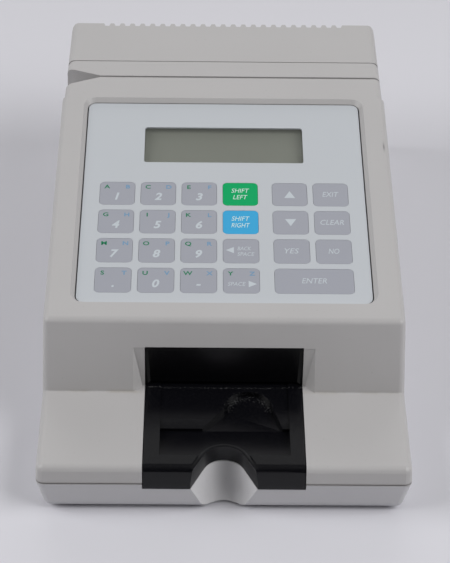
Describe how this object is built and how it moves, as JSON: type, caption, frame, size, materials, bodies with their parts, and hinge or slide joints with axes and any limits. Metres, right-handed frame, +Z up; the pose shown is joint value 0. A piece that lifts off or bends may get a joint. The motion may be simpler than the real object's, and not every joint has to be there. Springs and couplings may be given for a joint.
{
  "type": "blood coagulation monitor",
  "caption": "Benchtop blood coagulation monitor with a sloping keypad panel, a small display, a black card station with a thumb notch and a card swipe slot.",
  "frame": {"origin": "on the surface it stands on, under the middle of the case", "axes": "+X to the user's right, +Y from the front to the rear, +Z up"},
  "size_m": [0.16, 0.2696, 0.0743],
  "materials": {
    "base_plastic": "satin, cool grey, fine moulded grain",
    "upper_plastic": "satin, warm light grey, fine moulded grain",
    "overlay_film": "satin printed film, pale blue grey",
    "key_grey": "satin, blue grey",
    "key_green": "satin, green",
    "key_blue": "satin, blue",
    "clear_plastic": "clear",
    "display_glass": "dull green grey",
    "black_plastic": "half gloss, black",
    "circuit_board": "lacquered green laminate",
    "steel": "plain zinc plated",
    "aluminium": "milled",
    "copper": "enamelled copper winding",
    "cell_wrap": "shrink wrap",
    "rubber": "dark, matt"
  },
  "bodies": {
    "case": {"base_housing": "base_plastic", "battery_hatch": "base_plastic", "upper_housing": "upper_plastic", "swipe_bridge": "upper_plastic", "rear_cover": "upper_plastic", "keypad_overlay": "overlay_film", "display_window": "clear_plastic", "switch_sheet": "clear_plastic", "display_glass": "display_glass", "card_tray": "black_plastic", "card_hood": "black_plastic", "optics_head": "black_plastic", "rocker_frame": "black_plastic", "power_inlet": "black_plastic", "processor": "black_plastic", "display_board": "circuit_board", "main_board": "circuit_board", "display_frame": "steel", "magnet_core": "steel", "head_spring": "steel", "serial_port": "steel", "case_screw_front_left": "steel", "case_screw_front_right": "steel", "case_screw_middle_left": "steel", "case_screw_middle_right": "steel", "case_screw_rear_left": "steel", "case_screw_rear_right": "steel", "heater_plate": "aluminium", "optics_bracket": "aluminium", "magnet_coil": "copper", "battery_pack": "cell_wrap", "foot_front_left": "rubber", "foot_front_right": "rubber", "foot_rear_left": "rubber", "foot_rear_right": "rubber"},
    "key_1": {"key_1": "key_grey"},
    "key_2": {"key_2": "key_grey"},
    "key_3": {"key_3": "key_grey"},
    "key_shift_left": {"key_shift_left": "key_green"},
    "key_up": {"key_up": "key_grey"},
    "key_exit": {"key_exit": "key_grey"},
    "key_4": {"key_4": "key_grey"},
    "key_5": {"key_5": "key_grey"},
    "key_6": {"key_6": "key_grey"},
    "key_shift_right": {"key_shift_right": "key_blue"},
    "key_down": {"key_down": "key_grey"},
    "key_clear": {"key_clear": "key_grey"},
    "key_7": {"key_7": "key_grey"},
    "key_8": {"key_8": "key_grey"},
    "key_9": {"key_9": "key_grey"},
    "key_back_space": {"key_back_space": "key_grey"},
    "key_yes": {"key_yes": "key_grey"},
    "key_no": {"key_no": "key_grey"},
    "key_point": {"key_point": "key_grey"},
    "key_0": {"key_0": "key_grey"},
    "key_minus": {"key_minus": "key_grey"},
    "key_space": {"key_space": "key_grey"},
    "key_enter": {"key_enter": "key_grey"},
    "rocker": {"power_rocker": "black_plastic"},
    "head": {"read_head": "steel"}
  },
  "joints": [
    {"name": "key_1_press", "type": "slide", "parent": "case", "child": "key_1", "axis": [0, 0.0851, -0.9964], "range_m": [0, 0.0004], "stiffness_N_per_m": 800},
    {"name": "key_2_press", "type": "slide", "parent": "case", "child": "key_2", "axis": [0, 0.0851, -0.9964], "range_m": [0, 0.0004], "stiffness_N_per_m": 800},
    {"name": "key_3_press", "type": "slide", "parent": "case", "child": "key_3", "axis": [0, 0.0851, -0.9964], "range_m": [0, 0.0004], "stiffness_N_per_m": 800},
    {"name": "key_shift_left_press", "type": "slide", "parent": "case", "child": "key_shift_left", "axis": [0, 0.0851, -0.9964], "range_m": [0, 0.0004], "stiffness_N_per_m": 800},
    {"name": "key_up_press", "type": "slide", "parent": "case", "child": "key_up", "axis": [0, 0.0851, -0.9964], "range_m": [0, 0.0004], "stiffness_N_per_m": 800},
    {"name": "key_exit_press", "type": "slide", "parent": "case", "child": "key_exit", "axis": [0, 0.0851, -0.9964], "range_m": [0, 0.0004], "stiffness_N_per_m": 800},
    {"name": "key_4_press", "type": "slide", "parent": "case", "child": "key_4", "axis": [0, 0.0851, -0.9964], "range_m": [0, 0.0004], "stiffness_N_per_m": 800},
    {"name": "key_5_press", "type": "slide", "parent": "case", "child": "key_5", "axis": [0, 0.0851, -0.9964], "range_m": [0, 0.0004], "stiffness_N_per_m": 800},
    {"name": "key_6_press", "type": "slide", "parent": "case", "child": "key_6", "axis": [0, 0.0851, -0.9964], "range_m": [0, 0.0004], "stiffness_N_per_m": 800},
    {"name": "key_shift_right_press", "type": "slide", "parent": "case", "child": "key_shift_right", "axis": [0, 0.0851, -0.9964], "range_m": [0, 0.0004], "stiffness_N_per_m": 800},
    {"name": "key_down_press", "type": "slide", "parent": "case", "child": "key_down", "axis": [0, 0.0851, -0.9964], "range_m": [0, 0.0004], "stiffness_N_per_m": 800},
    {"name": "key_clear_press", "type": "slide", "parent": "case", "child": "key_clear", "axis": [0, 0.0851, -0.9964], "range_m": [0, 0.0004], "stiffness_N_per_m": 800},
    {"name": "key_7_press", "type": "slide", "parent": "case", "child": "key_7", "axis": [0, 0.0851, -0.9964], "range_m": [0, 0.0004], "stiffness_N_per_m": 800},
    {"name": "key_8_press", "type": "slide", "parent": "case", "child": "key_8", "axis": [0, 0.0851, -0.9964], "range_m": [0, 0.0004], "stiffness_N_per_m": 800},
    {"name": "key_9_press", "type": "slide", "parent": "case", "child": "key_9", "axis": [0, 0.0851, -0.9964], "range_m": [0, 0.0004], "stiffness_N_per_m": 800},
    {"name": "key_back_space_press", "type": "slide", "parent": "case", "child": "key_back_space", "axis": [0, 0.0851, -0.9964], "range_m": [0, 0.0004], "stiffness_N_per_m": 800},
    {"name": "key_yes_press", "type": "slide", "parent": "case", "child": "key_yes", "axis": [0, 0.0851, -0.9964], "range_m": [0, 0.0004], "stiffness_N_per_m": 800},
    {"name": "key_no_press", "type": "slide", "parent": "case", "child": "key_no", "axis": [0, 0.0851, -0.9964], "range_m": [0, 0.0004], "stiffness_N_per_m": 800},
    {"name": "key_point_press", "type": "slide", "parent": "case", "child": "key_point", "axis": [0, 0.0851, -0.9964], "range_m": [0, 0.0004], "stiffness_N_per_m": 800},
    {"name": "key_0_press", "type": "slide", "parent": "case", "child": "key_0", "axis": [0, 0.0851, -0.9964], "range_m": [0, 0.0004], "stiffness_N_per_m": 800},
    {"name": "key_minus_press", "type": "slide", "parent": "case", "child": "key_minus", "axis": [0, 0.0851, -0.9964], "range_m": [0, 0.0004], "stiffness_N_per_m": 800},
    {"name": "key_space_press", "type": "slide", "parent": "case", "child": "key_space", "axis": [0, 0.0851, -0.9964], "range_m": [0, 0.0004], "stiffness_N_per_m": 800},
    {"name": "key_enter_press", "type": "slide", "parent": "case", "child": "key_enter", "axis": [0, 0.0851, -0.9964], "range_m": [0, 0.0004], "stiffness_N_per_m": 800},
    {"name": "power_rocker_tip", "type": "hinge", "parent": "case", "child": "rocker", "pos_m": [0.052, 0.13085, 0.032], "axis": [1, 0, 0], "range_deg": [0, 14]},
    {"name": "read_head_give", "type": "slide", "parent": "case", "child": "head", "axis": [0, 1, 0], "range_m": [0, 0.0008], "stiffness_N_per_m": 1500, "deforming": ["head_spring"]}
  ]
}
